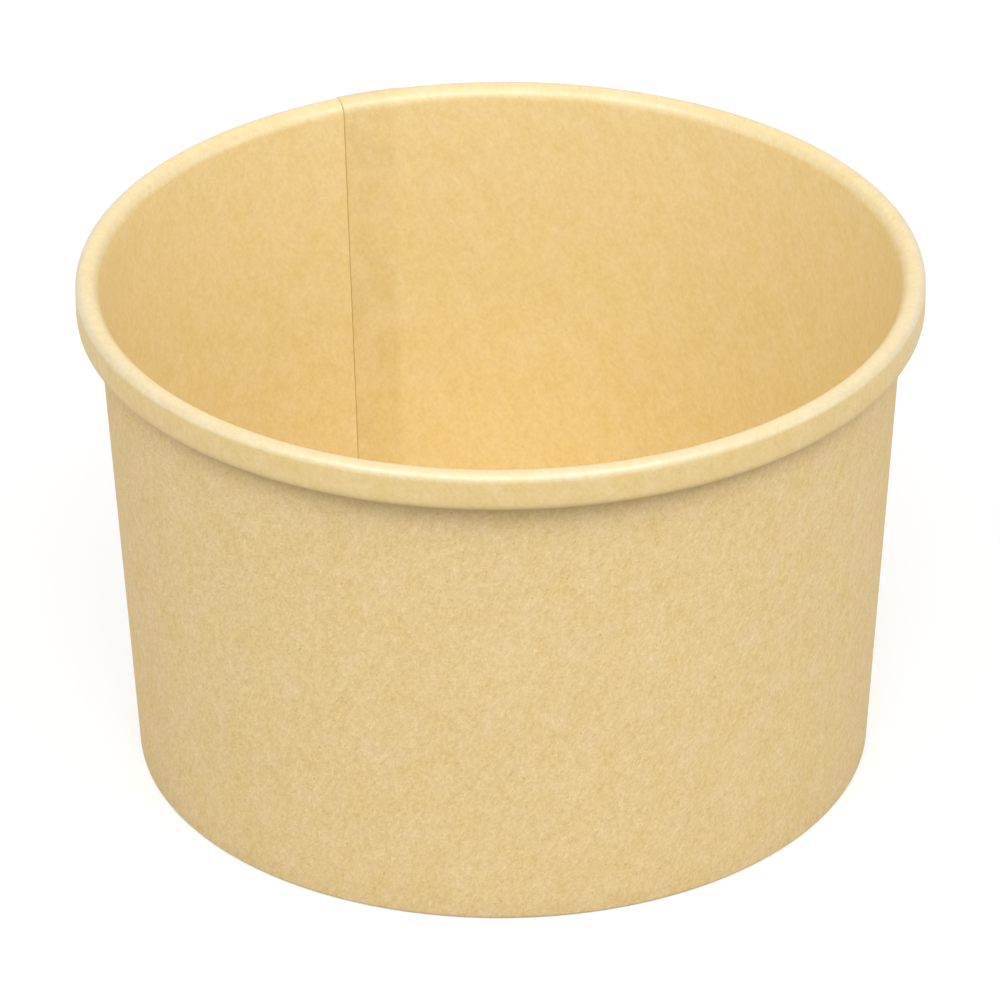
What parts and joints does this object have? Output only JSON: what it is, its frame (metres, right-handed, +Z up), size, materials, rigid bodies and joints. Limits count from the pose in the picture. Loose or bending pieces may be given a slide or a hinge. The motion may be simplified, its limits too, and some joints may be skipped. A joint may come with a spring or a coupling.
{
  "type": "kraft soup cup",
  "caption": "Round kraft board soup cup with a gently tapered wall, rolled rim, lapped side seam and recessed flat base.",
  "frame": {"origin": "centre of the foot, on the surface that the cup stands on", "axes": "+Z up along the cup's axis, towards its mouth; the side seam is at the back, about 24 degrees left of +Y"},
  "size_m": [0.115, 0.115, 0.0721],
  "materials": {
    "wall_board": "uncoated kraft outside, satin coated inside",
    "base_board": "satin coated above, uncoated kraft below"
  },
  "bodies": {
    "root": {"side_wall": "wall_board", "base_disc": "base_board"}
  },
  "joints": []
}
